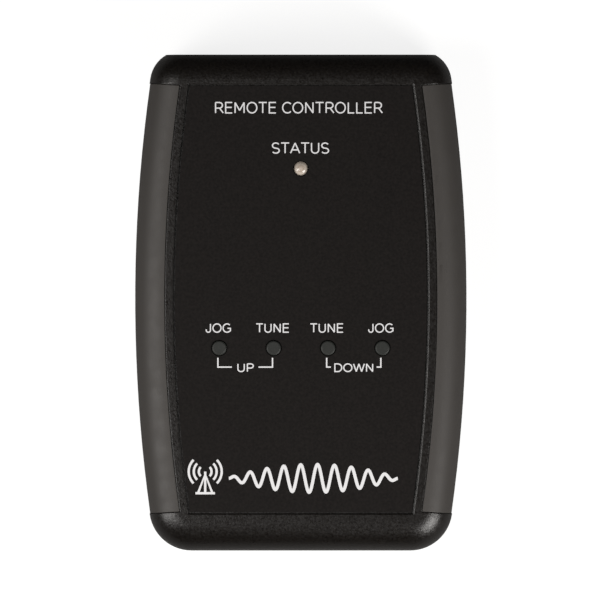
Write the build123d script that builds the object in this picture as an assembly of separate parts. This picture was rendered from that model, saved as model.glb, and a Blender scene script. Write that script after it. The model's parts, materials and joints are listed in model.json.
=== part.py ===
from build123d import *
import math
import os

# Hand-held push-button remote for a motor-driven antenna tuner. It lies on its rear face: +Z is
# out of the front face, +Y is towards the jack end and +X is to the right of somebody looking at
# the front. The origin is under the middle of the case, on the surface it lies on. Millimetres.

# ---- case, outside -------------------------------------------------------------------------
CASE_WIDTH = 78.8  # across the bowed sides, at their widest
CASE_LENGTH = 117.4  # bottom end to the flat jack end
CASE_HEIGHT = 24.4
HALF_W = CASE_WIDTH / 2
TOP_END_Y = CASE_LENGTH / 2
BULGE_Y = 1.0  # where the sides are widest
GRIP_REACH = 51.2  # from the bulge to either end of a grip
SIDE_RISE = 3.6  # how much each side bows out over the grip's length
SIDE_R = (GRIP_REACH**2 + SIDE_RISE**2) / (2 * SIDE_RISE)
CORNER_R, JACK_CORNER_R = 10.0, 7.6  # corners of the plan outline, bottom end and jack end
JACK_END_CUT = 1.0  # what the flat jack end takes off the rounded end
EDGE_R = 6.8  # rounding from the faces into the sides and ends
PART_Z = CASE_HEIGHT / 2  # joint between the two shells

# ---- grips, recess and walls ---------------------------------------------------------------
GRIP_T = 1.6
GRIP_SINK = 0.15  # how far the grips lie below the shells round them
GRIP_END_SLOPE = math.tan(math.radians(4))  # the seams at the grips' ends spread outwards
GRIP_INSET = 7.3  # from the case side to the grip's inner edge, front and rear
GRIP_GAP = 0.12  # seam round each grip
GRIP_RIB_DEPTH = 0.6  # rib on the grip's back, trapped between the shells
GRIP_RIB_HALF, GRIP_RIB_REACH = 0.8, 44.5
RIB_PLAY = 0.05
RECESS_INSET = 9.2  # from the case side to the label recess
RECESS_DEPTH = 0.5
SLOPE_W, SLOPE_H = 0.20, 0.08  # on the rim of the recess
RECESS_Z = CASE_HEIGHT - RECESS_DEPTH
RECESS_Y0, RECESS_Y1 = -49.9, 51.7
LABEL_T = 0.25
LABEL_GAP = 0.45
CAVITY_INSET = 3.8
CAVITY_FLOOR = 3.2
FLOOR_T = 2.2  # rear wall inside the pocket between the grips
CAVITY_TOP = 21.2
CAVITY_EDGE_R = 2.6
TONGUE_T = 0.8  # locating tongue of the front shell, inside the rear shell's wall
TONGUE_DROP = 1.0
TONGUE_GAP = 0.1
TONGUE_END_Y = 42.0

# ---- flat jack end -------------------------------------------------------------------------
END_WALL_Y = 54.2  # inner face of the slotted end wall
SLOT_Y0, SLOT_Y1 = 55.6, 57.5
PANEL_HALF_X, PANEL_Z0, PANEL_Z1 = 25.0, 3.6, 20.8
OPENING_HALF_X, OPENING_Z0, OPENING_Z1 = 23.5, 5.3, 19.1
PANEL_GAP = 0.12
PANEL_FACE_Y = TOP_END_Y - 0.3
OPENING_R = 3.0

# ---- board ---------------------------------------------------------------------------------
PCB_TOP = 17.3
PCB_T = 1.6
PCB_BOTTOM = PCB_TOP - PCB_T
PCB_HALF_X, PCB_Y0, PCB_Y1 = 30.0, -16.5, 53.6
PCB_NECK_HALF_X, PCB_NECK_Y = 20.5, 42.5
BOARD_SCREWS = [(-27.0, -11.5), (27.0, -11.5), (-27.0, 36.0), (27.0, 36.0)]
BOARD_SCREW_R = 1.05
BOARD_HEAD_R, BOARD_HEAD_H = 2.0, 1.3
STANDOFF_R = 2.5
TAIL = 1.2  # how far soldered pins stand out of the board's rear side

# Chips on the board's rear side: x, y, size along x, size along y, height.
CHIPS = {
    "microcontroller": (-9.0, 12.0, 10.3, 7.5, 2.3),
    "motor_driver": (10.0, 24.0, 5.0, 4.0, 1.6),
    "voltage_regulator": (13.0, 2.0, 6.5, 3.5, 1.7),
}
CHIP_LIFT = 0.15  # gap between a chip's body and the board
CHIP_LEAD_PITCH, CHIP_LEAD_W, CHIP_LEAD_T, CHIP_LEAD_OUT = 1.27, 0.4, 0.2, 1.1
RESISTORS = [(-20.0 + 3.2 * i, 24.0) for i in range(6)]
CAPACITORS = [(-20.0 + 3.4 * i, 0.5) for i in range(4)] + [(20.0, 12.0)]
SMALL_PART = (2.0, 1.25)  # length and width of the resistors and chip capacitors
RESISTOR_H, CAPACITOR_H = 0.55, 0.9
CAN_X, CAN_Y, CAN_R, CAN_H = 21.0, 22.0, 3.15, 7.3

# ---- push buttons --------------------------------------------------------------------------
BUTTON_PITCH = 12.85
BUTTON_Y = -10.7
BUTTON_NAMES = ["jog_up", "tune_up", "tune_down", "jog_down"]
BUTTON_X = [(i - 1.5) * BUTTON_PITCH for i in range(4)]
BUTTON_R = 1.75
BUTTON_TOP, BUTTON_EDGE_R = CASE_HEIGHT + 0.2, 0.4
BUTTON_HOLE_R = 1.92
BUTTON_FLANGE_R, BUTTON_FLANGE_Z0, BUTTON_FLANGE_Z1 = 2.2, 19.55, 20.45
SWITCH_SIDE = 6.0
SWITCH_BODY_TOP = 20.5
SWITCH_COVER_T = 0.3
SWITCH_WELL_R, SWITCH_WELL_Z = 2.6, 18.5
SWITCH_COVER_HOLE_R = 1.95
DOME_R, DOME_T, DOME_RISE = 2.3, 0.12, 0.75
LEG_SPACING_X, LEG_SPACING_Y = 6.5, 4.5
LEG_W, LEG_T = 0.7, 0.3
LEG_HOLE_R = 0.5
LEG_TOP = PCB_TOP + 1.2

# ---- status light --------------------------------------------------------------------------
LED_Y = 31.7
LED_R, LED_HOLE_R = 1.7, 1.85
LED_TOP, LED_CROWN = CASE_HEIGHT, 0.9
LED_FLANGE_R, LED_FLANGE_H = 2.1, 1.0
LED_BASE = 18.9
LED_LEAD_W, LED_LEAD_PITCH, LED_LEAD_HOLE_R = 0.5, 2.54, 0.45

# ---- jack ----------------------------------------------------------------------------------
JACK_Z = 13.2
JACK_BORE_R, JACK_BORE_L = 1.8, 14.0
JACK_NOSE_R, JACK_NOSE_HOLE_R = 3.0, 3.12
JACK_HALF_X, JACK_HALF_Z, JACK_LENGTH = 4.5, 2.5, 14.5
JACK_FRONT_Y = 55.3
JACK_CONTACTS = [(-JACK_HALF_X, 44.0), (JACK_HALF_X, 46.5), (-JACK_HALF_X, 50.5)]
JACK_CONTACT_W, JACK_CONTACT_T = 1.6, 0.3

# ---- battery bay ---------------------------------------------------------------------------
BATTERY_X0, BATTERY_L, BATTERY_W, BATTERY_T = -25.6, 46.4, 26.2, 17.0
BATTERY_Y, BATTERY_Z0 = -34.4, 2.9
BATTERY_X1 = BATTERY_X0 + BATTERY_L
BATTERY_MID_Z = BATTERY_Z0 + BATTERY_T / 2
JACKET_T, END_PLATE_T = 0.25, 1.6
CELL_R, CELL_PITCH = 4.05, 8.2
TERMINAL_PITCH, TERMINAL_H = 12.7, 2.1
STUD_R, SOCKET_R = 2.8, 3.8
CLIP_T, CLIP_HALF_Y, CLIP_HALF_Z = 4.6, 12.2, 6.0
LEAD_Z, LEAD_R, LEAD_BEND_R = 11.2, 0.55, 5.0
LEAD_BOARD_Y = -14.6
LEAD_X = {"red": 24.2, "black": 22.2}
DOOR_HALF_X = 26.0
DOOR_GAP = 0.3
DOOR_Z0, DOOR_T = 0.15, 2.4
DOOR_Z1 = DOOR_Z0 + DOOR_T
DOOR_FREE_Y = -18.3
HINGE_Y, HINGE_Z = -47.9, DOOR_Z0 + DOOR_T / 2
HINGE_PIN_R, HINGE_PIN_L, HINGE_BORE_R = 0.7, 1.7, 0.76
HINGE_BLOCK_L, HINGE_BLOCK_HALF_Y, HINGE_BLOCK_TOP = 2.9, 2.6, 4.0
BAY_WALL_T = 1.0
BAY_WALL_X = 26.7
BAY_WALL_Y = -17.2
LEAD_NOTCH_X, LEAD_NOTCH_Z = 19.5, 9.5
HOLD_DOWN_X, HOLD_DOWN_T = 15.0, 1.2  # ribs of the front shell over the battery
LATCH_HALF_X, LATCH_T, LATCH_TOP = 6.0, 0.8, 7.2
LATCH_ROOT_Y, LATCH_BLADE_Y = DOOR_FREE_Y - 2.7, DOOR_FREE_Y - 0.3
SCOOP_R, SCOOP_DEPTH, SCOOP_Y = 7.6, 2.4, DOOR_FREE_Y + 1.0
DOOR_GROOVES, DOOR_GROOVE_PITCH, DOOR_GROOVE_R, DOOR_GROOVE_HALF_X = 5, 1.4, 0.5, 9.0

# ---- case screws ---------------------------------------------------------------------------
CASE_SCREWS = [(-25.5, 48.0), (25.5, 48.0), (-25.5, -53.2), (25.5, -53.2)]
CASE_SCREW_R, CASE_SCREW_TOP = 1.4, 18.4
CASE_HEAD_R, CASE_HEAD_H = 2.4, 1.8
COUNTERBORE_R, COUNTERBORE_Z = 2.7, 6.0
BOSS_R, LOW_BOSS_R, LOW_BOSS_Z = 3.0, 3.5, 8.0
PILOT_PLAY = 0.05  # radial room round a screw in the plastic it cuts into

FAR = 200.0  # longer than the case, for cutting tools


# ---- shared shapes -------------------------------------------------------------------------
def block(x0, x1, y0, y1, z0, z1):
    """Box between two corners."""
    middle = Pos((x0 + x1) / 2, (y0 + y1) / 2, (z0 + z1) / 2)
    return middle * Box(x1 - x0, y1 - y0, z1 - z0)


def rod(x, y, z0, z1, radius):
    """Upright cylinder."""
    return Pos(x, y, (z0 + z1) / 2) * Cylinder(radius, z1 - z0)


def rod_x(x0, x1, y, z, radius):
    """Cylinder along X."""
    return Pos((x0 + x1) / 2, y, z) * Rot(0, 90, 0) * Cylinder(radius, x1 - x0)


def rod_y(x, y0, y1, z, radius):
    """Cylinder along Y."""
    return Pos(x, (y0 + y1) / 2, z) * Rot(90, 0, 0) * Cylinder(radius, y1 - y0)


def rounded_plate(half_x, z0, z1, y0, y1, radius):
    """Upright plate in the XZ plane, with rounded corners, from y0 to y1."""
    outline = Plane.XZ * RectangleRounded(2 * half_x, z1 - z0, radius)
    return Pos(0, y1, (z0 + z1) / 2) * extrude(outline, y1 - y0)


def side_x(inset, y):
    """Half width of the case at y, moved in by inset: the sides are concentric arcs."""
    radius = SIDE_R - inset
    return HALF_W - SIDE_R + math.sqrt(radius**2 - (y - BULGE_Y) ** 2)


def barrel(inset, y_low, y_high):
    """Plan sketch between the two bowed sides, square at both ends."""
    y_mid = (y_low + y_high) / 2
    low, mid, high = (side_x(inset, y) for y in (y_low, y_mid, y_high))
    right = ThreePointArc((low, y_low), (mid, y_mid), (high, y_high))
    top = Line((high, y_high), (-high, y_high))
    left = ThreePointArc((-high, y_high), (-mid, y_mid), (-low, y_low))
    bottom = Line((-low, y_low), (low, y_low))
    return make_face([right, top, left, bottom])


def plan(inset):
    """Plan sketch of the case moved in by inset, with round corners and no flat jack end."""
    outline = barrel(inset, inset - TOP_END_Y, TOP_END_Y + JACK_END_CUT - inset)
    outline = fillet(outline.vertices().sort_by(Axis.Y)[:2], CORNER_R - inset)
    return fillet(outline.vertices().sort_by(Axis.Y)[-2:], JACK_CORNER_R - inset)


def rim_slope(inset, y_low, y_high):
    """Widening cut that slopes the rim of a recess in the front face."""
    taper = -math.degrees(math.atan(SLOPE_W / SLOPE_H))
    cut = extrude(barrel(inset, y_low, y_high), 2 * SLOPE_H, taper=taper)
    return Pos(0, 0, CASE_HEIGHT - SLOPE_H) * cut


def slab(inset, z_low, z_high, edge_radius):
    """The case's plan moved in by inset, between two heights, with both rims rounded."""
    solid = Pos(0, 0, z_low) * extrude(plan(inset), z_high - z_low)
    rims = solid.edges().filter_by_position(Axis.Z, z_low - 0.01, z_low + 0.01)
    rims += solid.edges().filter_by_position(Axis.Z, z_high - 0.01, z_high + 0.01)
    return fillet(rims, edge_radius)


def below_y(y):
    """Everything on the bottom-end side of y."""
    return block(-FAR, FAR, y - 2 * FAR, y, -FAR, FAR)


def between_z(z0, z1):
    """Everything between two heights."""
    return block(-FAR, FAR, -FAR, FAR, z0, z1)


def envelope():
    """The whole case as one solid, with its flat jack end."""
    return slab(0, 0, CASE_HEIGHT, EDGE_R) & below_y(TOP_END_Y)


def moved_in(inset):
    """The rounded case moved in by inset all over, with no flat jack end."""
    return slab(inset, inset, CASE_HEIGHT - inset, EDGE_R - inset)


def grip_zone(gap):
    """Where the two grips are, in plan, smaller by gap at each seam."""
    reach = GRIP_REACH - gap
    dip = reach - HALF_W * GRIP_END_SLOPE
    corners = [(0, dip), (-HALF_W, reach), (-HALF_W, -reach), (0, -dip), (HALF_W, -reach)]
    outside = extrude(make_face(Polyline(*corners, (HALF_W, reach), close=True)), CASE_HEIGHT)
    inside = extrude(barrel(GRIP_INSET - gap, -GRIP_REACH, GRIP_REACH + 2 * BULGE_Y), CASE_HEIGHT)
    return Pos(0, BULGE_Y, 0) * outside - inside


def grip_rib(depth, half_height, reach):
    """Rib on the back of both grips, at the joint between the shells."""
    outer = extrude(barrel(GRIP_T, BULGE_Y - reach, BULGE_Y + reach), 2 * half_height)
    inner = extrude(barrel(GRIP_T + depth, BULGE_Y - reach, BULGE_Y + reach), 2 * half_height)
    return Pos(0, 0, PART_Z - half_height) * (outer - inner)


def rib_groove():
    """Groove in the shells for the ribs of both grips."""
    return grip_rib(GRIP_RIB_DEPTH + RIB_PLAY, GRIP_RIB_HALF + RIB_PLAY, GRIP_RIB_REACH + 0.5)


def cavity():
    """Space inside both shells, up to the slotted end wall."""
    hollow = slab(CAVITY_INSET, CAVITY_FLOOR, CAVITY_TOP, CAVITY_EDGE_R)
    pocket = extrude(barrel(RECESS_INSET, -53, 52), CAVITY_FLOOR + 0.1 - FLOOR_T)
    return (hollow + Pos(0, 0, FLOOR_T) * pocket) & below_y(END_WALL_Y)


def end_opening():
    """Opening for the end panel, and the slot that holds its edge."""
    opening = rounded_plate(
        OPENING_HALF_X, OPENING_Z0, OPENING_Z1, END_WALL_Y - 1, TOP_END_Y + 1, OPENING_R
    )
    slot = rounded_plate(PANEL_HALF_X, PANEL_Z0, PANEL_Z1, SLOT_Y0, SLOT_Y1, OPENING_R)
    return opening + slot


def tongue(gap):
    """Rim below the joint that locates the shells, thicker by gap for the rebate it enters."""
    ring = extrude(plan(CAVITY_INSET - TONGUE_T - gap) - plan(CAVITY_INSET), TONGUE_DROP + gap)
    return (Pos(0, 0, PART_Z - TONGUE_DROP - gap) * ring) & below_y(TONGUE_END_Y + gap)


# ---- case ----------------------------------------------------------------------------------
def front_shell(moulding, hollow):
    shell = (moulding & between_z(PART_Z, CASE_HEIGHT + 1)) - hollow
    y0, y1 = BATTERY_Y - BATTERY_W / 2 + 2, BATTERY_Y + BATTERY_W / 2 - 2
    z0, z1 = BATTERY_Z0 + BATTERY_T + DOOR_GAP, CAVITY_TOP + 0.5
    half = HOLD_DOWN_T / 2
    added = [block(x - half, x + half, y0, y1, z0, z1) for x in (-HOLD_DOWN_X, HOLD_DOWN_X)]
    added += [rod(x, y, PART_Z, z1, BOSS_R) & moulding for x, y in CASE_SCREWS]
    added += [rod(x, y, PCB_TOP, z1, STANDOFF_R) for x, y in BOARD_SCREWS]
    shell = shell + added + tongue(0)
    recess = extrude(barrel(RECESS_INSET, RECESS_Y0, RECESS_Y1), RECESS_DEPTH + 1)
    cut = [Pos(0, 0, RECESS_Z) * recess, rim_slope(RECESS_INSET, RECESS_Y0, RECESS_Y1)]
    cut += [rib_groove(), end_opening()]
    cut += [rod(x, BUTTON_Y, PART_Z, CASE_HEIGHT, BUTTON_HOLE_R) for x in BUTTON_X]
    cut.append(rod(0, LED_Y, PART_Z, CASE_HEIGHT, LED_HOLE_R))
    radius, z_end = CASE_SCREW_R + PILOT_PLAY, CASE_SCREW_TOP + 0.8
    cut += [rod(x, y, PART_Z - 2, z_end, radius) for x, y in CASE_SCREWS]
    radius, z_end = BOARD_SCREW_R + PILOT_PLAY, CAVITY_TOP - 0.2
    cut += [rod(x, y, PCB_TOP - 1, z_end, radius) for x, y in BOARD_SCREWS]
    return shell - cut


def door_opening():
    """Hole in the rear wall that the battery door fills."""
    y_low = HINGE_Y - DOOR_T / 2 - DOOR_GAP
    edge = DOOR_HALF_X + DOOR_GAP
    return block(-edge, edge, y_low, DOOR_FREE_Y + DOOR_GAP, -1, CAVITY_FLOOR + 1)


def bay_walls():
    """Ribs round the battery, with a notch for its leads."""
    y_low = HINGE_Y - DOOR_T / 2 - DOOR_GAP - BAY_WALL_T
    y_high = BAY_WALL_Y + BAY_WALL_T
    x_out = BAY_WALL_X + BAY_WALL_T
    outer = block(-x_out, x_out, y_low, y_high, 1, PART_Z)
    inner = block(-BAY_WALL_X, BAY_WALL_X, y_low + BAY_WALL_T, BAY_WALL_Y, 0, PART_Z + 1)
    notch = block(LEAD_NOTCH_X, BAY_WALL_X, BAY_WALL_Y - 1, y_high + 1, LEAD_NOTCH_Z, PART_Z + 1)
    return outer - inner - notch


def hinge_bar():
    """Bar across the rear wall; the door's opening leaves only its ends, round the bores."""
    reach = DOOR_HALF_X + DOOR_GAP + HINGE_BLOCK_L
    y0, y1 = HINGE_Y - HINGE_BLOCK_HALF_Y, HINGE_Y + HINGE_BLOCK_HALF_Y
    return block(-reach, reach, y0, y1, 0.5, HINGE_BLOCK_TOP)


def rear_shell(moulding, hollow):
    shell = (moulding & between_z(-1, PART_Z)) - hollow
    added = [rod(x, y, 0.5, LOW_BOSS_Z, LOW_BOSS_R) for x, y in CASE_SCREWS]
    added += [rod(x, y, 0.5, PART_Z, BOSS_R) for x, y in CASE_SCREWS]
    shell += [piece & moulding for piece in [*added, bay_walls(), hinge_bar()]]
    pin_end = DOOR_HALF_X + HINGE_PIN_L + 0.2
    scoop = Pos(0, SCOOP_Y, SCOOP_DEPTH - SCOOP_R) * Sphere(SCOOP_R)  # fingertip room
    cut = [tongue(TONGUE_GAP), rib_groove(), end_opening(), door_opening()]
    cut.append(rod_x(-pin_end, pin_end, HINGE_Y, HINGE_Z, HINGE_BORE_R))
    cut.append(scoop & between_z(-1, FLOOR_T - 1.0))
    cut += [rod(x, y, -1, COUNTERBORE_Z, COUNTERBORE_R) for x, y in CASE_SCREWS]
    cut += [rod(x, y, 0, PART_Z + 1, CASE_SCREW_R + 0.15) for x, y in CASE_SCREWS]
    return shell - cut


def right_grip(seat):
    """Soft grip of the right side, with its rib; the left one is its mirror image."""
    skin = (moved_in(GRIP_SINK) - seat) & grip_zone(GRIP_GAP)
    both = skin + grip_rib(GRIP_RIB_DEPTH, GRIP_RIB_HALF, GRIP_RIB_REACH)
    return both & block(0, FAR, -FAR, FAR, -FAR, FAR)


def face_label():
    outline = barrel(RECESS_INSET + LABEL_GAP, RECESS_Y0 + LABEL_GAP, RECESS_Y1 - LABEL_GAP)
    sheet = Pos(0, 0, RECESS_Z) * extrude(outline, LABEL_T)
    for x in BUTTON_X:
        sheet -= rod(x, BUTTON_Y, RECESS_Z - 1, CASE_HEIGHT, BUTTON_HOLE_R)
    return sheet - rod(0, LED_Y, RECESS_Z - 1, CASE_HEIGHT, LED_HOLE_R)


def end_panel():
    plate = rounded_plate(
        PANEL_HALF_X - PANEL_GAP,
        PANEL_Z0 + PANEL_GAP,
        PANEL_Z1 - PANEL_GAP,
        SLOT_Y0 + 0.05,
        SLOT_Y1 - 0.05,
        OPENING_R,
    )
    field = rounded_plate(
        OPENING_HALF_X - PANEL_GAP,
        OPENING_Z0 + PANEL_GAP,
        OPENING_Z1 - PANEL_GAP,
        SLOT_Y1 - 0.1,
        PANEL_FACE_Y,
        OPENING_R - PANEL_GAP,
    )
    return plate + field - rod_y(0, SLOT_Y0 - 1, TOP_END_Y + 1, JACK_Z, JACK_NOSE_HOLE_R)


def battery_door():
    """Door with a rounded hinge edge, two hinge pins and a grooved thumb patch."""
    plate = block(-DOOR_HALF_X, DOOR_HALF_X, HINGE_Y, DOOR_FREE_Y, DOOR_Z0, DOOR_Z1)
    plate += rod_x(-DOOR_HALF_X, DOOR_HALF_X, HINGE_Y, HINGE_Z, DOOR_T / 2)
    reach = DOOR_HALF_X + HINGE_PIN_L
    plate += rod_x(-reach, reach, HINGE_Y, HINGE_Z, HINGE_PIN_R)
    notch = LATCH_HALF_X + DOOR_GAP
    plate -= block(-notch, notch, DOOR_FREE_Y - 1.5, DOOR_FREE_Y + 1, DOOR_Z0 - 1, DOOR_Z1 + 1)
    reach, z = DOOR_GROOVE_HALF_X, DOOR_Z0 - 0.15
    for i in range(DOOR_GROOVES):
        plate -= rod_x(-reach, reach, DOOR_FREE_Y - 4.5 - DOOR_GROOVE_PITCH * i, z, DOOR_GROOVE_R)
    return plate


def battery_door_latch():
    """Sprung U-shaped catch on the door's free edge."""
    half, top, z_low = LATCH_HALF_X, LATCH_TOP, DOOR_Z0 + 0.2
    root_y, blade_y = LATCH_ROOT_Y, LATCH_BLADE_Y
    latch = block(-half, half, root_y, root_y + LATCH_T, DOOR_Z1, top)
    latch += block(-half, half, root_y, blade_y, top - LATCH_T, top)
    latch += block(-half, half, blade_y - LATCH_T, blade_y, z_low, top)
    latch += block(-half, half, blade_y - 0.1, blade_y + 1.0, FLOOR_T + 0.1, FLOOR_T + 1.0)
    return latch + block(-half, half, blade_y - LATCH_T, blade_y + 0.4, z_low, z_low + 0.7)


def cross_recess(x, y, z, depth, reach, width):
    """Cutter for a cross-head drive, upward from z."""
    arm = block(-reach, reach, -width / 2, width / 2, z - 0.5, z + depth)
    return Pos(x, y, 0) * (arm + Rot(0, 0, 90) * arm)


def case_screws():
    """Four pan-head screws, driven from the rear, with plain shanks."""
    made = []
    for x, y in CASE_SCREWS:
        head = rod(x, y, COUNTERBORE_Z - CASE_HEAD_H, COUNTERBORE_Z, CASE_HEAD_R)
        head = fillet(head.edges().group_by(Axis.Z)[0], 0.7)
        screw = head + rod(x, y, COUNTERBORE_Z - 0.1, CASE_SCREW_TOP, CASE_SCREW_R)
        made.append(screw - cross_recess(x, y, COUNTERBORE_Z - CASE_HEAD_H, 1.1, 1.5, 0.6))
    return made


# ---- board and what stands on it -----------------------------------------------------------
def main_board():
    board = block(-PCB_HALF_X, PCB_HALF_X, PCB_Y0, PCB_NECK_Y, PCB_BOTTOM, PCB_TOP)
    neck = PCB_NECK_HALF_X
    board += block(-neck, neck, PCB_NECK_Y - 1, PCB_Y1, PCB_BOTTOM, PCB_TOP)
    low, high = PCB_BOTTOM - 1, PCB_TOP + 1
    for x, y in BOARD_SCREWS:
        board -= rod(x, y, low, high, BOARD_SCREW_R + 0.2)
    for x, y in leg_places():
        board -= rod(x, y, low, high, LEG_HOLE_R)
    for x, y in led_places():
        board -= rod(x, y, low, high, LED_LEAD_HOLE_R)
    for x in LEAD_X.values():
        board -= rod(x, LEAD_BOARD_Y, low, high, LEAD_R + 0.05)
    return board


def board_screws():
    """Four small screws that hold the board up to the front shell's standoffs."""
    made = []
    for x, y in BOARD_SCREWS:
        z0 = PCB_BOTTOM - BOARD_HEAD_H
        head = rod(x, y, z0, PCB_BOTTOM, BOARD_HEAD_R)
        head = fillet(head.edges().group_by(Axis.Z)[0], 0.5)
        screw = head + rod(x, y, PCB_BOTTOM - 0.1, CAVITY_TOP - 0.8, BOARD_SCREW_R)
        made.append(screw - cross_recess(x, y, z0, 0.8, 1.1, 0.45))
    return made


def leg_places():
    """The four leg holes under each switch."""
    return [
        (x + sx * LEG_SPACING_X / 2, BUTTON_Y + sy * LEG_SPACING_Y / 2)
        for x in BUTTON_X
        for sx in (-1, 1)
        for sy in (-1, 1)
    ]


def led_places():
    return [(s * LED_LEAD_PITCH / 2, LED_Y) for s in (-1, 1)]


def switch_base(x):
    """Moulded base of one switch, with a well for its dome and plunger."""
    half = SWITCH_SIDE / 2
    y0, y1 = BUTTON_Y - half, BUTTON_Y + half
    base = block(x - half, x + half, y0, y1, PCB_TOP, SWITCH_BODY_TOP)
    return base - rod(x, BUTTON_Y, SWITCH_WELL_Z, SWITCH_BODY_TOP + 1, SWITCH_WELL_R)


def switch_cover(x):
    """Steel cover plate of one switch, with four riveting pegs' dimples."""
    half = SWITCH_SIDE / 2
    z0, z1 = SWITCH_BODY_TOP, SWITCH_BODY_TOP + SWITCH_COVER_T
    cover = block(x - half, x + half, BUTTON_Y - half, BUTTON_Y + half, z0, z1)
    cover -= rod(x, BUTTON_Y, z0 - 1, z1 + 1, SWITCH_COVER_HOLE_R)
    for sx in (-1, 1):
        for sy in (-1, 1):
            cover -= rod(x + sx * 2.4, BUTTON_Y + sy * 2.4, z0 + 0.15, z1 + 1, 0.35)
    return cover


def switch_dome(x):
    """Sprung snap dome under the plunger."""
    radius = (DOME_R**2 + DOME_RISE**2) / (2 * DOME_RISE)
    centre = Pos(x, BUTTON_Y, SWITCH_WELL_Z + DOME_RISE - radius)
    bowl = centre * Sphere(radius) - centre * Sphere(radius - DOME_T)
    return bowl & between_z(SWITCH_WELL_Z, SWITCH_WELL_Z + DOME_RISE + 1)


def push_button(x):
    """Plunger of one switch: a stem through the panel on a flange under the cover."""
    stem = rod(x, BUTTON_Y, BUTTON_FLANGE_Z0, BUTTON_TOP, BUTTON_R)
    stem = fillet(stem.edges().group_by(Axis.Z)[-1], BUTTON_EDGE_R)
    flange = rod(x, BUTTON_Y, BUTTON_FLANGE_Z0, BUTTON_FLANGE_Z1, BUTTON_FLANGE_R)
    nub = rod(x, BUTTON_Y, SWITCH_WELL_Z + DOME_RISE + 0.02, BUTTON_FLANGE_Z0 + 0.1, 0.9)
    return stem + flange + nub


def switch_legs():
    """Sixteen tinned legs, each down the side of its switch and through the board."""
    legs = []
    for i, (x, y) in enumerate(leg_places()):
        side = -1 if (i // 2) % 2 == 0 else 1
        inner = x - side * (LEG_SPACING_X - SWITCH_SIDE) / 2
        x0, x1 = sorted((inner, x + side * LEG_T / 2))
        y0, y1 = y - LEG_W / 2, y + LEG_W / 2
        step = block(x0, x1, y0, y1, LEG_TOP - LEG_T, LEG_TOP)
        legs.append(step + block(x - LEG_T / 2, x + LEG_T / 2, y0, y1, PCB_BOTTOM - TAIL, LEG_TOP))
    return legs


def status_led():
    """Domed lens of the light, on its flange."""
    straight_top = LED_TOP - LED_CROWN
    radius = (LED_R**2 + LED_CROWN**2) / (2 * LED_CROWN)
    lens = rod(0, LED_Y, LED_BASE, straight_top, LED_R)
    ball = Pos(0, LED_Y, LED_TOP - radius) * Sphere(radius)
    lens += ball & between_z(straight_top, LED_TOP + 1)
    return lens + rod(0, LED_Y, LED_BASE, LED_BASE + LED_FLANGE_H, LED_FLANGE_R)


def led_leads():
    half = LED_LEAD_W / 2
    z0 = PCB_BOTTOM - TAIL
    return [block(x - half, x + half, y - half, y + half, z0, LED_BASE) for x, y in led_places()]


def chip(name):
    """Moulded body of one chip, with its pin-one dimple."""
    x, y, size_x, size_y, height = CHIPS[name]
    top = PCB_BOTTOM - CHIP_LIFT
    half_x, half_y = size_x / 2, size_y / 2
    body = block(x - half_x, x + half_x, y - half_y, y + half_y, top - height, top)
    body = chamfer(body.edges().group_by(Axis.Z)[0], 0.25)
    dimple = rod(x - half_x + 1.2, y - half_y + 1.2, top - height - 1, top - height + 0.1, 0.4)
    return body - dimple


def chip_leads():
    """Leads of the three chips, along the two long sides of each."""
    leads = []
    half_w, half_t = CHIP_LEAD_W / 2, CHIP_LEAD_T / 2
    for x, y, size_x, size_y, height in CHIPS.values():
        count = int((size_x - 0.9) / CHIP_LEAD_PITCH) + 1
        z = PCB_BOTTOM - CHIP_LIFT - height / 2
        for i in range(count):
            x0 = x + (i - (count - 1) / 2) * CHIP_LEAD_PITCH - half_w
            x1 = x0 + CHIP_LEAD_W
            for side in (-1, 1):
                root, tip = y + side * size_y / 2, y + side * (size_y / 2 + CHIP_LEAD_OUT)
                arm = block(x0, x1, min(root, tip), max(root, tip), z - half_t, z + half_t)
                heel = tip - side * 0.25
                foot = block(x0, x1, min(heel, tip), max(heel, tip), z - half_t, PCB_BOTTOM)
                leads.append(arm + foot)
    return leads


def small_parts(places, height):
    """Surface-mount resistors or capacitors on the board's rear side."""
    half_x, half_y = SMALL_PART[0] / 2, SMALL_PART[1] / 2
    z0 = PCB_BOTTOM - height
    return [
        block(x - half_x, x + half_x, y - half_y, y + half_y, z0, PCB_BOTTOM) for x, y in places
    ]


def reservoir_capacitor():
    """Upright can with the crimped groove near its seal."""
    top = PCB_BOTTOM - 0.2
    can = rod(CAN_X, CAN_Y, top - CAN_H, top, CAN_R)
    can = fillet(can.edges().group_by(Axis.Z)[0], 0.4)
    outer = rod(CAN_X, CAN_Y, top - 1.7, top - 1.2, CAN_R + 1)
    return can - (outer - rod(CAN_X, CAN_Y, top - 2, top - 1, CAN_R - 0.25))


def output_jack():
    """Jack on the board's rear side: square body and a round nose flush with the end panel."""
    half_x, half_z = JACK_HALF_X, JACK_HALF_Z
    y0, y1 = JACK_FRONT_Y - JACK_LENGTH, JACK_FRONT_Y
    body = block(-half_x, half_x, y0, y1, JACK_Z - half_z, JACK_Z + half_z)
    body = chamfer(body.edges().group_by(Axis.Z)[0], 0.4)
    body += rod_y(0, JACK_FRONT_Y - 0.1, PANEL_FACE_Y, JACK_Z, JACK_NOSE_R)
    return body - rod_y(0, PANEL_FACE_Y - JACK_BORE_L, PANEL_FACE_Y + 1, JACK_Z, JACK_BORE_R)


def jack_contacts():
    """Three contact blades beside the jack's body, each up to the board."""
    made = []
    for x, y in JACK_CONTACTS:
        x0, x1 = sorted((x, x + math.copysign(JACK_CONTACT_T, x)))
        y0, y1 = y - JACK_CONTACT_W / 2, y + JACK_CONTACT_W / 2
        made.append(block(x0, x1, y0, y1, JACK_Z - 1.2, PCB_BOTTOM))
    return made


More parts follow.
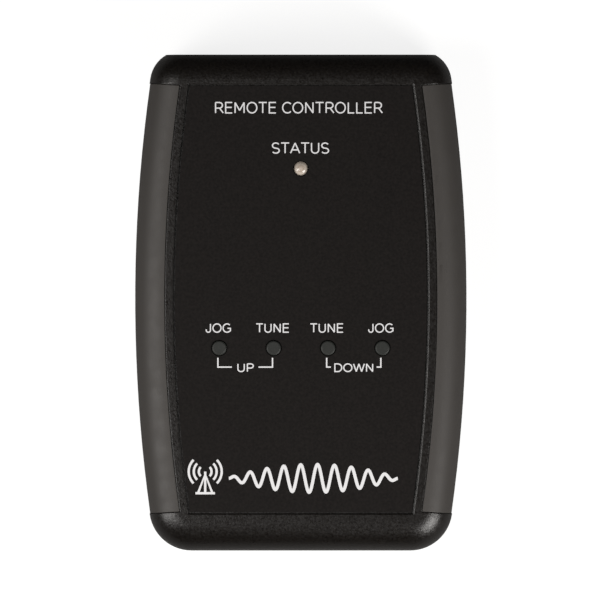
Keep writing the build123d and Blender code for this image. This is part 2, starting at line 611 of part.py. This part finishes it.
# ---- battery bay ---------------------------------------------------------------------------
def battery_brick(inset, end_inset):
    """The battery's rounded brick, moved in by inset at the sides and end_inset at the ends."""
    y0, y1 = BATTERY_Y - BATTERY_W / 2 + inset, BATTERY_Y + BATTERY_W / 2 - inset
    z0, z1 = BATTERY_Z0 + inset, BATTERY_Z0 + BATTERY_T - inset
    brick = block(BATTERY_X0 + end_inset, BATTERY_X1 - end_inset, y0, y1, z0, z1)
    return fillet(brick.edges().filter_by(Axis.X), 2.0 - inset)


def battery_jacket():
    return battery_brick(0, 0) - battery_brick(JACKET_T, -1)


def battery_end_plates():
    """Plate in each end of the jacket; the right one carries the terminals."""
    return battery_brick(JACKET_T, 0) - battery_brick(-1, END_PLATE_T)


def battery_cells():
    """Six round cells in two rows of three."""
    x0, x1 = BATTERY_X0 + END_PLATE_T, BATTERY_X1 - END_PLATE_T
    return [
        rod_x(x0, x1, BATTERY_Y + row * CELL_PITCH, BATTERY_MID_Z + layer * CELL_PITCH / 2, CELL_R)
        for row in (-1, 0, 1)
        for layer in (-1, 1)
    ]


def battery_terminals():
    """Round stud and larger socket on the battery's end."""
    tip = BATTERY_X1 + TERMINAL_H
    y_stud, y_socket = BATTERY_Y - TERMINAL_PITCH / 2, BATTERY_Y + TERMINAL_PITCH / 2
    socket = rod_x(BATTERY_X1, tip, y_socket, BATTERY_MID_Z, SOCKET_R)
    socket -= rod_x(BATTERY_X1 + 0.5, tip + 1, y_socket, BATTERY_MID_Z, STUD_R + 0.1)
    return [rod_x(BATTERY_X1, tip, y_stud, BATTERY_MID_Z, STUD_R), socket]


def battery_clip():
    """Moulded cap that snaps over the battery's two terminals."""
    y0, y1 = BATTERY_Y - CLIP_HALF_Y, BATTERY_Y + CLIP_HALF_Y
    z0, z1 = BATTERY_MID_Z - CLIP_HALF_Z, BATTERY_MID_Z + CLIP_HALF_Z
    cap = block(BATTERY_X1 + 0.1, BATTERY_X1 + CLIP_T, y0, y1, z0, z1)
    cap = fillet(cap.edges().filter_by(Axis.X), 2.5)
    x0, x1 = BATTERY_X1, BATTERY_X1 + TERMINAL_H + 0.1
    for side, radius in ((-1, STUD_R), (1, SOCKET_R)):
        y = BATTERY_Y + side * TERMINAL_PITCH / 2
        cap -= rod_x(x0, x1, y, BATTERY_MID_Z, radius + 0.15)
    return cap


def battery_lead(colour):
    """One lead, from the clip through the bay wall's notch and up through the board."""
    x, y0, y1 = LEAD_X[colour], BATTERY_Y + CLIP_HALF_Y, LEAD_BOARD_Y
    route = [(x, y0, LEAD_Z), (x, y1, LEAD_Z), (x, y1, PCB_TOP)]
    path = FilletPolyline(*route, radius=LEAD_BEND_R)
    return sweep(Plane(path @ 0, z_dir=path % 0) * Circle(LEAD_R), path=path)


# ---- writing the parts ---------------------------------------------------------------------
def as_solids(shape):
    """One compound of the shape's solids, or of a list's."""
    shapes = shape if isinstance(shape, list) else [shape]
    return Compound([solid for each in shapes for solid in each.solids()])


def main():
    os.makedirs("parts", exist_ok=True)
    whole, seat, hollow = envelope(), moved_in(GRIP_T), cavity()
    moulding = whole - (grip_zone(0) - seat)
    right = right_grip(seat)
    nodes = {
        "front_shell": front_shell(moulding, hollow),
        "rear_shell": rear_shell(moulding, hollow),
        "left_grip": mirror(right, Plane.YZ),
        "right_grip": right,
        "face_label": face_label(),
        "end_panel": end_panel(),
        "battery_door": battery_door(),
        "battery_door_latch": battery_door_latch(),
        "case_screws": case_screws(),
        "main_board": main_board(),
        "board_screws": board_screws(),
        "switch_legs": switch_legs(),
        "status_led": status_led(),
        "led_leads": led_leads(),
        "chip_leads": chip_leads(),
        "chip_resistors": small_parts(RESISTORS, RESISTOR_H),
        "chip_capacitors": small_parts(CAPACITORS, CAPACITOR_H),
        "reservoir_capacitor": reservoir_capacitor(),
        "output_jack": output_jack(),
        "jack_contacts": jack_contacts(),
        "battery_jacket": battery_jacket(),
        "battery_end_plates": battery_end_plates(),
        "battery_cells": battery_cells(),
        "battery_terminals": battery_terminals(),
        "battery_clip": battery_clip(),
        "battery_lead_red": battery_lead("red"),
        "battery_lead_black": battery_lead("black"),
    }
    for name in CHIPS:
        nodes[name] = chip(name)
    for name, x in zip(BUTTON_NAMES, BUTTON_X):
        nodes[name + "_button"] = push_button(x)
        nodes[name + "_switch_base"] = switch_base(x)
        nodes[name + "_switch_cover"] = switch_cover(x)
        nodes[name + "_switch_dome"] = switch_dome(x)
    for name, shape in nodes.items():
        export_step(as_solids(shape), os.path.join("parts", name + ".step"))


main()
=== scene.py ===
import json
import math

import bmesh
import bpy
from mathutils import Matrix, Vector
from mathutils.geometry import intersect_line_line_2d


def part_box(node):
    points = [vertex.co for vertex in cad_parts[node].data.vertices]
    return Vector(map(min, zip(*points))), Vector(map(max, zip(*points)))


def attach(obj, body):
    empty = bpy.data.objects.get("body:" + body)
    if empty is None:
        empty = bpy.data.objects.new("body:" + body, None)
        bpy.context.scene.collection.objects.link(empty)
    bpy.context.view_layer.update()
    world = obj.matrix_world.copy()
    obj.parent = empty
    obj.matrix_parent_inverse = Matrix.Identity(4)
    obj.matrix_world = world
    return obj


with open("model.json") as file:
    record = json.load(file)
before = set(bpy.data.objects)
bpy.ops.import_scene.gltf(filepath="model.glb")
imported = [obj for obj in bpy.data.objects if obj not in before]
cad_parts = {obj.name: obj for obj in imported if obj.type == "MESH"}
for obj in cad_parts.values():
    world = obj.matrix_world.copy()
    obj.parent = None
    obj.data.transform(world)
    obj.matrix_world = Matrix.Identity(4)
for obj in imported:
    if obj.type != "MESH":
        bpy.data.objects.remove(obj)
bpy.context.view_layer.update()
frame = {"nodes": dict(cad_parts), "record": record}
nodes = frame["nodes"]
scene = bpy.context.scene

MM = 0.001
ROOT = "remote"
LABEL_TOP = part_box("face_label")[1].z
LED_AT = (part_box("status_led")[0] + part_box("status_led")[1]) / 2
LENS_R = 1.7 * MM


# ---- materials -------------------------------------------------------------------------------
class Surface:
    """A Principled material whose colour, roughness and bump come from noise in object space."""

    def __init__(self, name, colour, roughness, specular=0.5, metallic=0.0):
        self.material = bpy.data.materials.new(name)
        self.material.use_nodes = True
        self.tree = self.material.node_tree
        self.shader = self.tree.nodes["Principled BSDF"]
        self.shader.inputs["Base Color"].default_value = (*colour, 1)
        self.shader.inputs["Roughness"].default_value = roughness
        self.shader.inputs["Specular IOR Level"].default_value = specular
        self.shader.inputs["Metallic"].default_value = metallic
        self.place = self.node("ShaderNodeTexCoord").outputs["Object"]
        self.normal = None

    def node(self, kind, **settings):
        made = self.tree.nodes.new(kind)
        for key, value in settings.items():
            setattr(made, key, value)
        return made

    def link(self, source, target):
        self.tree.links.new(source, target)

    def noise(self, size, detail=2.0, roughness=0.5, stretch=(1, 1, 1)):
        """Noise whose blotches are about size metres across, drawn out along an axis if asked."""
        mapping = self.node("ShaderNodeMapping")
        mapping.inputs["Scale"].default_value = stretch
        self.link(self.place, mapping.inputs["Vector"])
        noise = self.node("ShaderNodeTexNoise")
        noise.inputs["Scale"].default_value = 1 / size
        noise.inputs["Detail"].default_value = detail
        noise.inputs["Roughness"].default_value = roughness
        self.link(mapping.outputs["Vector"], noise.inputs["Vector"])
        return noise.outputs["Fac"]

    def pits(self, size):
        """Round cells about size metres across."""
        cells = self.node("ShaderNodeTexVoronoi", feature="SMOOTH_F1")
        cells.inputs["Scale"].default_value = 1 / size
        self.link(self.place, cells.inputs["Vector"])
        return cells.outputs["Distance"]

    def ramp(self, source, low, high, start=0.3, end=0.7):
        ramp = self.node("ShaderNodeMapRange")
        ramp.inputs["From Min"].default_value = start
        ramp.inputs["From Max"].default_value = end
        ramp.inputs["To Min"].default_value = low
        ramp.inputs["To Max"].default_value = high
        self.link(source, ramp.inputs["Value"])
        return ramp.outputs["Result"]

    def colour_by(self, source, low, high, start=0.3, end=0.7):
        mix = self.node("ShaderNodeMix", data_type="RGBA")
        mix.inputs["A"].default_value = (*low, 1)
        mix.inputs["B"].default_value = (*high, 1)
        self.link(self.ramp(source, 0, 1, start, end), mix.inputs["Factor"])
        self.link(mix.outputs["Result"], self.shader.inputs["Base Color"])
        return self

    def roughness_by(self, source, low, high, start=0.3, end=0.7):
        self.link(self.ramp(source, low, high, start, end), self.shader.inputs["Roughness"])
        return self

    def bump_by(self, source, height):
        """Adds relief of height metres on top of any that is already there."""
        bump = self.node("ShaderNodeBump")
        bump.inputs["Strength"].default_value = 1.0
        bump.inputs["Distance"].default_value = height
        self.link(source, bump.inputs["Height"])
        if self.normal:
            self.link(self.normal, bump.inputs["Normal"])
        self.normal = bump.outputs["Normal"]
        self.link(self.normal, self.shader.inputs["Normal"])
        return self

    def soften_edges(self, radius):
        """Rounds the shading over the sharp edges of a moulding; called before any bump."""
        bevel = self.node("ShaderNodeBevel", samples=8)
        bevel.inputs["Radius"].default_value = radius
        self.normal = bevel.outputs["Normal"]
        self.link(self.normal, self.shader.inputs["Normal"])
        return self

    def set(self, **sockets):
        """Gives shader sockets constant values; an underscore stands for a space."""
        for key, value in sockets.items():
            self.shader.inputs[key.replace("_", " ")].default_value = value
        return self


def plastic(name, low, high, rough_low, rough_high, grain, height, specular=0.5, edge=None,
            gloss_size=None):
    """Moulded plastic: fine grain in its relief, and gloss that drifts over twelve grains."""
    made = Surface(name, low, rough_low, specular)
    if edge:
        made.soften_edges(edge)
    grains = made.noise(grain, detail=3.0, roughness=0.6)
    made.colour_by(grains, low, high)
    drift = made.noise(gloss_size or grain * 12, detail=3.0)
    made.roughness_by(drift, rough_low, rough_high)
    return made.bump_by(grains, height)


def metal(name, low, high, rough_low, rough_high, stretch=(1, 1, 1)):
    """Bright metal with fine drawn-out scratches."""
    made = Surface(name, high, rough_low, metallic=1.0)
    made.colour_by(made.noise(0.0015, detail=4.0), low, high)
    made.roughness_by(made.noise(0.0004, 3.0, 0.5, stretch), rough_low, rough_high)
    return made.bump_by(made.noise(0.0002, 2.0, 0.5, stretch), 0.000004)


case_abs = plastic("case_abs", (0.0014, 0.0008, 0.0005), (0.0075, 0.0058, 0.0045),
                   0.27, 0.43, 0.00042, 0.000030, specular=0.46, edge=0.30 * MM,
                   gloss_size=0.00055)
case_abs.bump_by(case_abs.pits(0.00045), 0.000024)
soft_grip = plastic("soft_grip", (0.0400, 0.0365, 0.0335), (0.0460, 0.0420, 0.0385),
                    0.50, 0.60, 0.00025, 0.000012, specular=0.35, edge=0.25 * MM)
label_film = plastic("label_film", (0.0036, 0.0028, 0.0025), (0.0090, 0.0073, 0.0066),
                     0.54, 0.64, 0.00060, 0.000016, specular=0.12)
ink = plastic("legend_ink", (0.62, 0.62, 0.63), (0.72, 0.72, 0.73), 0.50, 0.60, 0.0002, 0.000003)
key_plastic = plastic("key_plastic", (0.0150, 0.0162, 0.0146), (0.0200, 0.0215, 0.0195),
                      0.46, 0.56, 0.00025, 0.000012, specular=0.3, edge=0.2 * MM)
black_part = plastic("black_part", (0.0130, 0.0130, 0.0135), (0.0200, 0.0200, 0.0205),
                     0.45, 0.60, 0.00015, 0.000006)
clip_vinyl = plastic("clip_vinyl", (0.0180, 0.0175, 0.0170), (0.0260, 0.0250, 0.0240),
                     0.50, 0.65, 0.0004, 0.00001)
red_vinyl = plastic("red_vinyl", (0.42, 0.012, 0.010), (0.55, 0.022, 0.016),
                    0.32, 0.42, 0.0004, 0.000006)
black_vinyl = plastic("black_vinyl", (0.010, 0.010, 0.010), (0.018, 0.018, 0.018),
                      0.32, 0.42, 0.0004, 0.000006)
board_mask = plastic("board_mask", (0.012, 0.085, 0.035), (0.018, 0.120, 0.050),
                     0.22, 0.32, 0.0006, 0.000004)
board_mask.set(Coat_Weight=0.4, Coat_Roughness=0.12)
ceramic = plastic("ceramic_part", (0.36, 0.27, 0.17), (0.44, 0.34, 0.22),
                  0.45, 0.60, 0.0003, 0.000004)
cell_wrap = plastic("cell_wrap", (0.20, 0.21, 0.22), (0.26, 0.27, 0.28),
                    0.30, 0.40, 0.0008, 0.000004)
jacket_paint = plastic("jacket_paint", (0.10, 0.105, 0.115), (0.13, 0.135, 0.145),
                       0.24, 0.34, 0.0010, 0.000004)
jacket_paint.set(Metallic=0.6)
tin = metal("tin", (0.62, 0.62, 0.61), (0.74, 0.74, 0.73), 0.26, 0.40, (1, 1, 8))
spring_steel = metal("spring_steel", (0.50, 0.49, 0.47), (0.62, 0.61, 0.58), 0.20, 0.32)
zinc = metal("zinc_screw", (0.46, 0.46, 0.48), (0.60, 0.60, 0.61), 0.26, 0.42, (6, 6, 1))
can_metal = metal("can_metal", (0.50, 0.50, 0.52), (0.62, 0.62, 0.63), 0.28, 0.40, (1, 1, 8))


def diffused_lens():
    """Milky epoxy, a little darker in a ring where the chip's cup shows through, with painted
    shade that darkens it towards its rounded rim.
    """
    milky = (0.49, 0.43, 0.37)
    made = Surface("status_lens", milky, 0.16)
    offset = made.node("ShaderNodeVectorMath", operation="SUBTRACT")
    offset.inputs[1].default_value = (LED_AT.x, LED_AT.y, 0)
    made.link(made.place, offset.inputs[0])
    flat = made.node("ShaderNodeVectorMath", operation="MULTIPLY")
    flat.inputs[1].default_value = (1, 1, 0)
    made.link(offset.outputs["Vector"], flat.inputs[0])
    reach = made.node("ShaderNodeVectorMath", operation="LENGTH")
    made.link(flat.outputs["Vector"], reach.inputs[0])
    ramp = made.node("ShaderNodeValToRGB")
    # The stops at 0.90 and 1.0 are painted shade: the lens gets darker towards its rounded rim.
    stops = [(0.0, (0.50, 0.43, 0.37)), (0.42, (0.38, 0.31, 0.25)), (0.60, milky),
             (0.90, (0.44, 0.38, 0.32)), (1.0, (0.32, 0.27, 0.23))]
    while len(ramp.color_ramp.elements) < len(stops):
        ramp.color_ramp.elements.new(0.5)
    for element, (at, colour) in zip(ramp.color_ramp.elements, stops):
        element.position = at
        element.color = (*colour, 1)
    made.link(made.ramp(reach.outputs["Value"], 0, 1, 0, LENS_R), ramp.inputs["Fac"])
    made.link(ramp.outputs["Color"], made.shader.inputs["Base Color"])
    made.roughness_by(made.noise(0.0006), 0.14, 0.22)
    return made.set(Coat_Weight=0.3, Coat_Roughness=0.06)


lens = diffused_lens()

SLOTS = {
    "case": case_abs, "panel": case_abs, "grip": soft_grip, "label": label_film,
    "button": key_plastic, "lens": lens, "screw": zinc, "board": board_mask, "tin": tin,
    "spring_steel": spring_steel, "black_part": black_part, "ceramic_part": ceramic,
    "can": can_metal, "jacket": jacket_paint, "cells": cell_wrap, "clip": clip_vinyl,
    "red_lead": red_vinyl, "black_lead": black_vinyl,
}
for subpart in frame["record"]["subparts"]:
    piece = nodes[subpart["node"]]
    piece.data.materials.clear()
    piece.data.materials.append(SLOTS[subpart["material_slot"]].material)


# ---- printed legends -------------------------------------------------------------------------
INK_LIFT = 0.005 * MM
INK_THICK = 0.02 * MM
INK_STEP = 0.002 * MM  # keeps crossing strokes from lying in one plane
SAME_POINT = 1e-4      # millimetres between two points that count as one
WELD = 0.0002 * MM     # the same for corners, once loops are cut off
MITRE = 1.5            # longest reach of a corner, in half widths
LOOP_POINTS = 24       # most points that one loop takes up


def unfolded(side):
    """One side of a line, without the loops it makes inside turns too tight for its width."""
    for i in range(len(side) - 3):
        for j in range(i + 2, min(i + LOOP_POINTS, len(side) - 1)):
            cross = intersect_line_line_2d(side[i], side[i + 1], side[j], side[j + 1])
            if cross:
                side[i + 1:j + 1] = [cross] * (j - i)
    return side


def ribbon(name, paths, width):
    """Flat printed lines, width wide, along paths of (x, y) in millimetres."""
    mesh = bpy.data.meshes.new(name)
    build = bmesh.new()
    for count, path in enumerate(paths):
        low = LABEL_TOP + INK_LIFT + count % 4 * INK_STEP
        points = [Vector(here) for i, here in enumerate(path)
                  if not i or math.dist(here, path[i - 1]) > SAME_POINT]
        closed = (points[0] - points[-1]).length < SAME_POINT
        if closed:
            points.pop()
        legs = [(b - a).normalized() for a, b in zip(points, points[1:] + points[:1])]
        sides = [], []
        for i, here in enumerate(points):
            after = legs[i] if closed or i + 1 < len(points) else legs[i - 1]
            before = legs[i - 1] if closed or i else after
            along = (before + after).normalized()
            side = Vector((-along.y, along.x))
            reach = width / 2 * min(MITRE, 1 / side.dot(Vector((-after.y, after.x))))
            sides[0].append(here + side * reach)
            sides[1].append(here - side * reach)
        rails = [[build.verts.new((*(c * MM), z)) for z in (low, low + INK_THICK) for c in corners]
                 for corners in zip(unfolded(sides[0]), unfolded(sides[1]))]
        for a, b in zip(rails, rails[1:] + rails[:1] if closed else rails[1:]):
            for i, j in ((0, 1), (1, 3), (3, 2), (2, 0)):
                build.faces.new((a[i], a[j], b[j], b[i]))
        if not closed:
            for rail in (rails[0], rails[-1]):
                build.faces.new([rail[i] for i in (0, 2, 3, 1)])
    bmesh.ops.remove_doubles(build, verts=build.verts, dist=WELD)
    bmesh.ops.recalc_face_normals(build, faces=build.faces)
    build.to_mesh(mesh)
    build.free()
    piece = bpy.data.objects.new(name, mesh)
    scene.collection.objects.link(piece)
    mesh.materials.append(ink.material)
    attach(piece, ROOT)


def bow(x, y, reach_x, reach_y, start, end, steps=16):
    """Points on an ellipse from one angle in degrees to another."""
    angles = [math.radians(start + (end - start) * i / steps) for i in range(steps + 1)]
    return [(x + reach_x * math.cos(a), y + reach_y * math.sin(a)) for a in angles]


# Each capital is one unit high: its width, its side spaces left and right, its strokes.
P_BOWL = [[(0, 0), (0, 1)], [(0, 1), *bow(0.34, 0.73, 0.28, 0.27, 90, -90), (0, 0.46)]]
CAPITALS = {
    "A": (0.84, 0.07, 0.07, [[(0, 0), (0.42, 1)], [(0.42, 1), (0.84, 0)],
                             [(0.13, 0.32), (0.71, 0.32)]]),
    "C": (0.74, 0.11, 0.09, [bow(0.43, 0.5, 0.43, 0.5, 44, 316, 28)]),
    "D": (0.74, 0.17, 0.11, [[(0, 1), (0.30, 1), *bow(0.30, 0.5, 0.44, 0.5, 90, -90), (0, 0),
                              (0, 1)]]),
    "E": (0.60, 0.17, 0.09, [[(0.60, 1), (0, 1), (0, 0), (0.60, 0)], [(0, 0.53), (0.56, 0.53)]]),
    "G": (0.80, 0.11, 0.15, [[*bow(0.43, 0.5, 0.43, 0.5, 46, 310, 28), (0.80, 0.17), (0.80, 0.47),
                              (0.48, 0.47)]]),
    "J": (0.46, 0.06, 0.16, [[(0.46, 1), (0.46, 0.24), *bow(0.23, 0.24, 0.23, 0.24, 0, -180),
                              (0, 0.34)]]),
    "L": (0.54, 0.17, 0.06, [[(0, 1), (0, 0), (0.54, 0)]]),
    "M": (0.82, 0.17, 0.17, [[(0, 0), (0, 1)], [(0.82, 0), (0.82, 1)], [(0, 1), (0.41, 0.24)],
                             [(0.82, 1), (0.41, 0.24)]]),
    "N": (0.66, 0.17, 0.17, [[(0, 0), (0, 1)], [(0.66, 0), (0.66, 1)], [(0, 1), (0.66, 0)]]),
    "O": (0.88, 0.11, 0.11, [bow(0.44, 0.5, 0.44, 0.5, 0, 360, 32)]),
    "P": (0.62, 0.17, 0.09, P_BOWL),
    "R": (0.70, 0.17, 0.05, [*P_BOWL, [(0.36, 0.46), (0.70, 0)]]),
    "S": (0.64, 0.11, 0.11, [[*bow(0.32, 0.745, 0.30, 0.255, 28, 270),
                              *bow(0.32, 0.245, 0.32, 0.245, 90, -150)]]),
    "T": (0.74, 0.06, 0.06, [[(0, 1), (0.74, 1)], [(0.37, 1), (0.37, 0)]]),
    "U": (0.66, 0.16, 0.16, [[(0, 1), (0, 0.32), *bow(0.33, 0.32, 0.33, 0.32, 180, 360),
                              (0.66, 1)]]),
    "W": (1.16, 0.07, 0.07, [[(0, 1), (0.29, 0)], [(0.29, 0), (0.58, 1)], [(0.58, 1), (0.87, 0)],
                             [(0.87, 0), (1.16, 1)]]),
    " ": (0.42, 0, 0, []),
}


def legend(words, left, right, baseline, cap, stroke):
    """One line of capitals that fills the space from left to right, in millimetres."""
    reach, paths = 0, []
    for letter in words:
        width, before, after, strokes = CAPITALS[letter]
        reach += before
        paths += [[(reach + x, y) for x, y in path] for path in strokes]
        reach += width + after
    first = CAPITALS[words[0]][1]
    span = reach - first - CAPITALS[words[-1]][2]
    scale_x = (right - left - stroke) / span
    scale_y = cap - stroke
    return [[(left + stroke / 2 + (x - first) * scale_x, baseline + stroke / 2 + y * scale_y)
             for x, y in path] for path in paths]


ribbon("legend_title", legend("REMOTE CONTROLLER", -20.3, 19.4, 44.7, 2.77, 0.30), 0.30)
ribbon("legend_status", legend("STATUS", -6.9, 6.7, 35.2, 2.70, 0.30), 0.30)
for name, words, left, right, baseline, cap in (
    ("jog_up", "JOG", -22.5, -16.5, -7.1, 2.25), ("tune_up", "TUNE", -10.7, -2.7, -7.1, 2.25),
    ("tune_down", "TUNE", 2.1, 10.1, -7.1, 2.25), ("jog_down", "JOG", 15.9, 21.9, -7.1, 2.25),
    ("up", "UP", -15.0, -11.1, -16.4, 2.1), ("down", "DOWN", 7.9, 17.1, -16.4, 2.1),
):
    ribbon("legend_" + name, legend(words, left, right, baseline, cap, 0.28), 0.28)
ribbon("legend_brackets", [
    [(-19.6, -13.0), (-19.6, -15.2), (-16.3, -15.2)],
    [(-10.0, -15.2), (-6.7, -15.2), (-6.7, -13.0)],
    [(6.1, -13.0), (6.1, -15.2), (7.1, -15.2)],
    [(17.9, -15.2), (18.9, -15.2), (18.9, -13.0)],
], 0.32)

# A plain aerial mast with rings of signal, and a burst of waves beside it.
MAST_X, MAST_TOP, MAST_FOOT = -22.6, -39.9, -45.0
ribbon("pictogram_mast", [
    [(MAST_X, MAST_TOP), (MAST_X, MAST_FOOT)],
    [(MAST_X - 1.7, MAST_FOOT), (MAST_X, MAST_TOP - 0.6), (MAST_X + 1.7, MAST_FOOT)],
    [(MAST_X - 2.3, MAST_FOOT), (MAST_X + 2.3, MAST_FOOT)],
    *[bow(MAST_X, MAST_TOP, r, r, a, a + 90) for r in (1.5, 2.7, 3.9) for a in (-45, 135)],
], 0.55)
WAVE_X0, WAVE_X1, WAVE_Y, WAVE_H, WAVES, WAVE_STEPS = -17.0, 22.9, -41.5, 3.3, 10, 400
burst = [i / WAVE_STEPS for i in range(WAVE_STEPS + 1)]
ribbon("pictogram_wave", [[
    (WAVE_X0 + (WAVE_X1 - WAVE_X0) * t,
     WAVE_Y + WAVE_H * math.sin(math.pi * t) ** 0.8 * math.sin(2 * math.pi * WAVES * t))
    for t in burst
]], 0.75)


# ---- floor, lights and camera ----------------------------------------------------------------
def floor():
    """Pale sheet: bright where it is looked at, greyer in what the glossy case mirrors."""
    mesh = bpy.data.meshes.new("floor")
    build = bmesh.new()
    bmesh.ops.create_grid(build, x_segments=2, y_segments=2, size=2.0)
    build.to_mesh(mesh)
    build.free()
    piece = bpy.data.objects.new("floor", mesh)
    piece.location.z = -0.05 * MM
    scene.collection.objects.link(piece)
    paper = Surface("white_paper", (0.24, 0.24, 0.24), 0.7, 0.1)
    paper.roughness_by(paper.noise(0.02), 0.65, 0.75)
    paper.set(Emission_Color=(1, 1, 1, 1))
    seen = paper.node("ShaderNodeLightPath").outputs["Is Camera Ray"]
    paper.link(paper.ramp(seen, 0.0, 0.85, 0, 1), paper.shader.inputs["Emission Strength"])
    mesh.materials.append(paper.material)


def softbox(name, place, size, watts):
    """A warm rectangular light that faces the middle of the floor."""
    data = bpy.data.lights.new(name, "AREA")
    data.shape = "RECTANGLE"
    data.size, data.size_y = size
    data.energy = watts
    data.color = (1.0, 0.975, 0.95)
    piece = bpy.data.objects.new(name, data)
    piece.location = place
    piece.rotation_euler = (-Vector(place)).to_track_quat("-Z", "Y").to_euler()
    piece.visible_camera = False
    scene.collection.objects.link(piece)


floor()
softbox("box_left", (-0.310, -0.080, 0.360), (0.22, 0.42), 2.08)
softbox("box_right", (0.275, -0.215, 0.280), (0.23, 0.23), 1.78)
world = bpy.data.worlds.new("studio")
world.use_nodes = True
world.node_tree.nodes["Background"].inputs["Color"].default_value = (0.9, 0.95, 1.0, 1)
world.node_tree.nodes["Background"].inputs["Strength"].default_value = 0.03
scene.world = world
scene.view_settings.view_transform = "Standard"

# Straight above the front face, far off, so that only FRAME_SIDE of it fills the picture.
FRONT_Z = 24.4 * MM
DISTANCE = 2.5
FRAME_SIDE = 141.75 * MM
SENSOR = 36.0
camera_data = bpy.data.cameras.new("camera")
camera_data.sensor_width = SENSOR
camera_data.lens = SENSOR * DISTANCE / FRAME_SIDE
camera_data.clip_end = 20.0
camera = bpy.data.objects.new("camera", camera_data)
camera.location = (-0.20 * MM, 0.65 * MM, FRONT_Z + DISTANCE)
scene.collection.objects.link(camera)
scene.camera = camera
